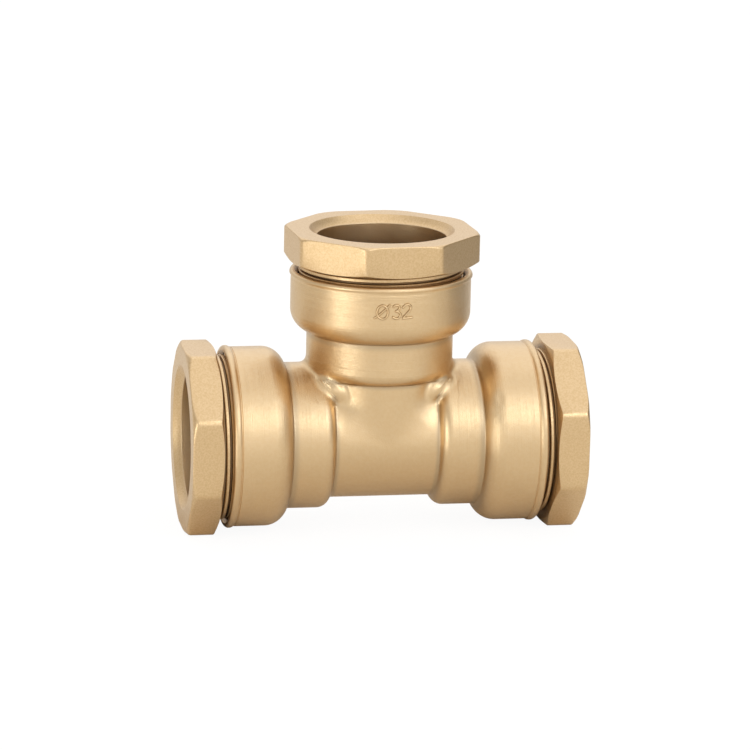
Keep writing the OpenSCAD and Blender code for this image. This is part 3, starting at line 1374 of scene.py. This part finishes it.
@dataclass(frozen=True)
class BrassFinish:
    """Finish of a brass piece: its two tones, its grain, its turning lines, and the painted shade of its
    creases, grooves and recesses.
    """

    name: str
    tone: tuple[float, float, float]
    deep_tone: tuple[float, float, float]
    roughness: float
    roughness_spread: float
    grain: float
    grain_depth: float
    mottle: float
    line_depth: float
    wave_depth: float = 0.0
    wave: float = 5.0
    line_spacing: float = 0.22
    # Painted shade: a half-shade tone and a deep shade tone, laid in where the mesh's painted shade value is
    # high
    half_shade_tone: tuple[float, float, float] = (0.57, 0.42, 0.255)
    half_shade_span: tuple[float, float] = (0.0, 0.5)
    shade_tone: tuple[float, float, float] = (0.27, 0.18, 0.10)
    shade_span: tuple[float, float] = (0.5, 1.0)
    tone_span: tuple[float, float] = (0.35, 0.65)
    roughness_span: tuple[float, float] = (0.3, 0.7)

    def material(self, grain_group: bpy.types.NodeTree,
                 line_group: bpy.types.NodeTree) -> bpy.types.Material:
        """Makes the material.

        Args:
            grain_group: The grain that blasting leaves.
            line_group: The rings that turning leaves.

        Returns:
            The material.
        """
        made, t = new_material(self.name)
        grain = t.node("ShaderNodeGroup", node_tree=grain_group, Grain=self.grain, Mottle=self.mottle,
                       Wave=self.wave)
        lines = t.node("ShaderNodeGroup", node_tree=line_group, Spacing=self.line_spacing)
        clean = t.mix(t.span(grain.outputs["Mottle"], *self.tone_span), self.deep_tone, self.tone)
        # The mesh's painted shade value darkens the colour in two steps
        painted_shade = t.attribute("painted_shade")
        half_shaded = t.mix(t.span(painted_shade, *self.half_shade_span), clean, self.half_shade_tone)
        colour = t.mix(t.span(painted_shade, *self.shade_span), half_shaded, self.shade_tone)
        rough = t.span(grain.outputs["Mottle"], *self.roughness_span, self.roughness + self.roughness_spread,
                       self.roughness - self.roughness_spread)
        pits = t.bump(grain.outputs["Grain"], self.grain_depth)
        rings = t.bump(lines.outputs["Height"], self.line_depth, pits)
        waves = t.bump(grain.outputs["Wave"], self.wave_depth, rings)
        shader = t.node("ShaderNodeBsdfPrincipled", Base_Color=colour, Metallic=1.0, Roughness=rough,
                        Normal=waves)
        t.node("ShaderNodeOutputMaterial", Surface=shader.outputs["BSDF"])
        return made


@dataclass(frozen=True)
class MouldedFinish:
    """Finish of a moulded ring: its colour, with fine pits."""

    name: str
    tone: tuple[float, float, float]
    roughness: float
    deep_share: float = 0.8
    deep_most: float = 0.3
    pit_scale: float = 900.0
    pit_span: tuple[float, float] = (0.3, 0.7)
    pit_depth: float = 0.01
    pit_strength: float = 0.5

    def material(self) -> bpy.types.Material:
        """Makes the material.

        Returns:
            The material.
        """
        made, t = new_material(self.name)
        place = t.node("ShaderNodeTexCoord").outputs["Object"]
        noise = t.node("ShaderNodeTexNoise", Vector=place, Scale=self.pit_scale, Detail=2.0).outputs["Fac"]
        deep_tone = tuple(self.deep_share * v for v in self.tone)
        colour = t.mix(t.span(noise, *self.pit_span, 0.0, self.deep_most), self.tone, deep_tone)
        shader = t.node("ShaderNodeBsdfPrincipled", Base_Color=colour, Roughness=self.roughness,
                        Normal=t.bump(noise, self.pit_depth, strength=self.pit_strength))
        t.node("ShaderNodeOutputMaterial", Surface=shader.outputs["BSDF"])
        return made


FORGED = BrassFinish("forged_brass", tone=(0.76, 0.55, 0.315), deep_tone=(0.745, 0.53, 0.295),
                     roughness=0.305, roughness_spread=0.025, grain=0.26, grain_depth=0.034, mottle=0.9,
                     line_depth=0.055, wave_depth=0.10, wave=5.0)
BLASTED = BrassFinish("blasted_brass", tone=(0.77, 0.55, 0.31), deep_tone=(0.695, 0.48, 0.25),
                      roughness=0.34, roughness_spread=0.04, grain=0.28, grain_depth=0.045, mottle=0.45,
                      line_depth=0.0, wave_depth=0.06, wave=4.0)
TURNED = BrassFinish("turned_brass", tone=(0.70, 0.49, 0.26), deep_tone=(0.62, 0.42, 0.21), roughness=0.3,
                     roughness_spread=0.03, grain=0.3, grain_depth=0.004, mottle=4.0, line_depth=0.01)
ACETAL = MouldedFinish("acetal", tone=(0.78, 0.75, 0.66), roughness=0.45)
RUBBER = MouldedFinish("nitrile_rubber", tone=(0.02, 0.02, 0.02), roughness=0.6)


@dataclass(frozen=True)
class Lamp:
    """A soft lamp that faces the tee from a metre away."""

    name: str
    way: tuple[float, float, float]
    size: tuple[float, float]
    power: float
    tint: tuple[float, float, float] = (1.0, 1.0, 1.0)
    reach: float = 1.0

    def build(self, middle: Vector) -> None:
        """Adds the lamp.

        Args:
            middle: The point that it faces, in metres.
        """
        data = bpy.data.lights.new(self.name, "AREA")
        data.shape = "ELLIPSE"
        data.size, data.size_y = self.size
        data.energy = self.power
        data.color = self.tint
        lamp = bpy.data.objects.new(self.name, data)
        way = Vector(self.way).normalized()
        lamp.location = middle + way * self.reach
        lamp.rotation_euler = way.to_track_quat("Z", "Y").to_euler()
        bpy.context.scene.collection.objects.link(lamp)


@dataclass(frozen=True)
class Patch:
    """A soft bright part of the surround, or a dark one where its strength is negative."""

    name: str
    way: tuple[float, float, float]
    inner: float
    outer: float
    strength: float


@dataclass
class Studio:
    """A pale floor, a soft surround and lamps, with the camera of the photo."""

    axis_z: float
    yaw: float = 10.291
    elevation: float = 13.814
    roll: float = 1.301
    distance: float = 957.7
    focal_px: float = 3803.8
    frame_px: float = 750.0
    sensor: float = 36.0
    clip: tuple[float, float] = (0.05, 20.0)
    aim_x: float = -0.93
    aim_z: float = 15.07
    ambient: float = 0.66
    warm_span: tuple[float, float] = (0.3, 0.8)
    warm_tint: tuple[float, float, float] = (1.03, 0.98, 0.90)
    cool_span: tuple[float, float] = (0.95, 1.6)
    cool_tint: tuple[float, float, float] = (0.92, 0.98, 1.10)
    floor_tone: tuple[float, float, float] = (0.83, 0.80, 0.74)
    floor_level: float = 1.06
    floor_white: float = 0.88
    floor_reach: float = 3.0
    floor_drop: float = 0.0002
    lamps: tuple[Lamp, ...] = (
        Lamp("left", (-0.83, -0.55, 0.08), (0.42, 0.60), 1.7, (0.86, 0.95, 1.0)),
        Lamp("key", (0.32, -0.77, 0.56), (0.6, 0.5), 1.15, (0.84, 0.94, 1.0)))
    patches: tuple[Patch, ...] = (
        Patch("high_behind", (0.12, 0.62, 0.77), 8.0, 55.0, 0.60),
        Patch("above", (0.0, -0.2, 0.98), 10.0, 45.0, 0.22),
        Patch("high_front", (0.0, -0.55, 0.83), 8.0, 38.0, 0.25),
        Patch("front", (-0.15, -0.95, 0.25), 6.0, 26.0, 0.34),
        Patch("low_front", (0.35, -0.93, 0.14), 5.0, 30.0, 0.43),
        Patch("right_front", (0.67, -0.49, 0.56), 8.0, 32.0, 0.78),
        Patch("dark_left", (-1.0, 0.12, 0.0), 8.0, 36.0, -0.12),
        Patch("dark_right", (0.93, 0.30, 0.05), 12.0, 56.0, -0.40))
    cards: tuple[Patch, ...] = (
        Patch("bright_left", (-0.84, -0.54, 0.0), 12.0, 22.0, 1.65),
        Patch("dark_right", (0.95, 0.31, 0.0), 10.0, 35.0, 0.42))
    card_start: tuple[float, float] = (0.10, 0.15)

    def camera(self) -> None:
        """Sets up the camera."""
        yaw, lift, roll = (math.radians(v) for v in (self.yaw, self.elevation, self.roll))
        back = Vector((-math.sin(yaw) * math.cos(lift), -math.cos(yaw) * math.cos(lift), math.sin(lift)))
        right = (-back).cross(Vector((0, 0, 1))).normalized()
        up = right.cross(-back)
        tilted_right = math.cos(roll) * right + math.sin(roll) * up
        tilted_up = math.cos(roll) * up - math.sin(roll) * right
        aim = Vector((self.aim_x, 0.0, self.axis_z + self.aim_z))
        place = (aim + back * self.distance) * MM
        data = bpy.data.cameras.new("camera")
        data.sensor_width = self.sensor
        data.lens = self.focal_px / self.frame_px * data.sensor_width
        data.clip_start, data.clip_end = self.clip
        lens = bpy.data.objects.new("camera", data)
        turn = Matrix((tilted_right, tilted_up, back)).transposed().to_4x4()
        lens.matrix_world = Matrix.Translation(place) @ turn
        bpy.context.scene.collection.objects.link(lens)
        bpy.context.scene.camera = lens

    def surround(self) -> None:
        """Makes the world: white for the camera, soft patches of light for everything else."""
        world = bpy.data.worlds.new("surround")
        bpy.context.scene.world = world
        world.use_nodes = True
        world.node_tree.nodes.clear()
        t = Tree(world.node_tree)
        way = t.node("ShaderNodeTexCoord").outputs["Generated"]
        total = t.node("ShaderNodeValue")
        total.name = "ambient"
        total.outputs[0].default_value = self.ambient
        level = total.outputs[0]
        for patch in self.patches:
            share = t.within(way, patch.way, patch.inner, patch.outer)
            part = t.math("MULTIPLY", share, patch.strength)
            part.node.name = patch.name
            level = t.math("ADD", level, part)
        path = t.node("ShaderNodeLightPath")
        white = t.math("ADD", path.outputs["Is Camera Ray"], path.outputs["Is Transmission Ray"], clamp=True)
        tint = t.mix(t.span(level, *self.warm_span), self.warm_tint, (1.0, 1.0, 1.0))
        tint = t.mix(t.span(level, *self.cool_span), tint, self.cool_tint)
        background = t.node("ShaderNodeBackground", Color=t.mix(white, tint, (1.0, 1.0, 1.0)),
                            Strength=t.mix(white, level, (1.0, 1.0, 1.0)))
        t.node("ShaderNodeOutputWorld", Surface=background.outputs[0])

    @staticmethod
    def over(t: Tree, under: bpy.types.NodeSocket, share: bpy.types.NodeSocket,
             level: float) -> bpy.types.NodeSocket:
        """Lays a plain glow over a shader.

        Args:
            t: Tree of the material.
            under: The shader below.
            share: How far the glow covers it.
            level: Brightness of the glow.

        Returns:
            The shader with the glow.
        """
        glow = t.node("ShaderNodeEmission", Strength=level)
        both = t.node("ShaderNodeMixShader")
        for socket, source in zip(both.inputs, (share, under, glow.outputs[0])):
            t.feed(socket, source)
        return both.outputs[0]

    def floor(self) -> None:
        """Makes the floor, which looks white to the camera and keeps a faint shadow."""
        mesh = bpy.data.meshes.new("floor")
        reach = self.floor_reach
        corners = [(-reach, -reach, 0), (reach, -reach, 0), (reach, reach, 0), (-reach, reach, 0)]
        mesh.from_pydata(corners, [], [(0, 1, 2, 3)])
        ground = bpy.data.objects.new("floor", mesh)
        bpy.context.scene.collection.objects.link(ground)
        ground.location.z = -self.floor_drop
        made, t = new_material("pale_floor")
        path = t.node("ShaderNodeLightPath")
        place = t.node("ShaderNodeTexCoord").outputs["Object"]
        way = t.node("ShaderNodeVectorMath", operation="NORMALIZE")
        far = t.node("ShaderNodeVectorMath", operation="LENGTH")
        for measure in (way, far):
            t.feed(measure.inputs[0], place)
        clear = t.math("MULTIPLY", t.span(far.outputs["Value"], *self.card_start),
                       path.outputs["Is Glossy Ray"])
        look = t.node("ShaderNodeBsdfDiffuse", Color=self.floor_tone).outputs[0]
        for card in self.cards:
            share = t.within(way.outputs[0], card.way, card.inner, card.outer)
            look = self.over(t, look, t.math("MULTIPLY", share, clear), card.strength)
        seen = t.math("MULTIPLY", path.outputs["Is Camera Ray"], self.floor_white)
        t.node("ShaderNodeOutputMaterial", Surface=self.over(t, look, seen, self.floor_level))
        ground.data.materials.append(made)

    def build(self) -> None:
        """Sets the stage."""
        bpy.context.scene.view_settings.view_transform = "Standard"
        self.camera()
        self.surround()
        self.floor()
        for lamp in self.lamps:
            lamp.build(Vector((0, 0, self.axis_z * MM)))


def hand_over(piece: bpy.types.Object, body: str, slot: Slot, finish: bpy.types.Material,
              node: str = "") -> None:
    """Dresses a piece, hides the solid that it replaces, hangs it on the body that it moves with, and
    reports it.

    Args:
        piece: The piece.
        body: The body that it moves with.
        slot: Its material slot; not used.
        finish: Its material.
        node: The node that it replaces, if any.
    """
    if node:
        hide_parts(node)
    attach(piece, body)
    piece.data.materials.append(finish)
    log.info("%s: %d faces", piece.name, len(piece.data.polygons))


def main() -> None:
    """Builds the tee, its stage, lights and camera."""
    logging.basicConfig(level=logging.INFO, format="%(name)s: %(message)s")
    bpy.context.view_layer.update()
    _, body_high = box_mm("tee_body")
    nut_low, nut_high = box_mm("left_nut")
    axis_z = float(nut_low[2] + nut_high[2]) / 2
    Studio(axis_z).build()
    grain, lines = blast_grain_group(), turning_group()
    forged, blasted, turned = (finish.material(grain, lines) for finish in (FORGED, BLASTED, TURNED))
    acetal, rubber = ACETAL.material(), RUBBER.material()
    mouth = float(body_high[0])
    centre = np.array([0.0, 0.0, axis_z])
    left, right = Port("left", LEFTWARD, UP, 0.0, centre), Port("right", RIGHTWARD, UP, 0.0, centre)
    branch = Port("branch", UP, LEFTWARD, float(body_high[2]) - axis_z - mouth, centre)
    body = TeeBody([left, right, branch], mouth, float(body_high[1]), dents=DENTS).build()
    hand_over(body, "tee", Slot.FORGED, forged, "tee_body")
    hand_over(SizeMark(branch, CUP_R).build(), "tee", Slot.FORGED, forged)
    for port, split_at in ((left, math.pi / 2), (right, -math.pi / 2), (branch, -math.pi / 2)):
        rings = PortRings(port, split_at)
        hand_over(rings.grip(), f"{port.name}_grip", Slot.GRIP, turned, f"{port.name}_grip_ring")
        hand_over(rings.thrust(), "tee", Slot.RING, acetal, f"{port.name}_thrust_ring")
        hand_over(rings.seal(), "tee", Slot.SEAL, rubber, f"{port.name}_seal_ring")
    for port in (left, right, branch):
        nut = Nut(port, face=-float(nut_low[0]), tail_end=-float(nut_high[0]),
                  across_flats=float(nut_high[2] - nut_low[2]), **NUT_LOOKS[port.name])
        hand_over(nut.build(), f"{port.name}_screw", Slot.NUT, blasted, f"{port.name}_nut")


if __name__ == "__main__":
    main()
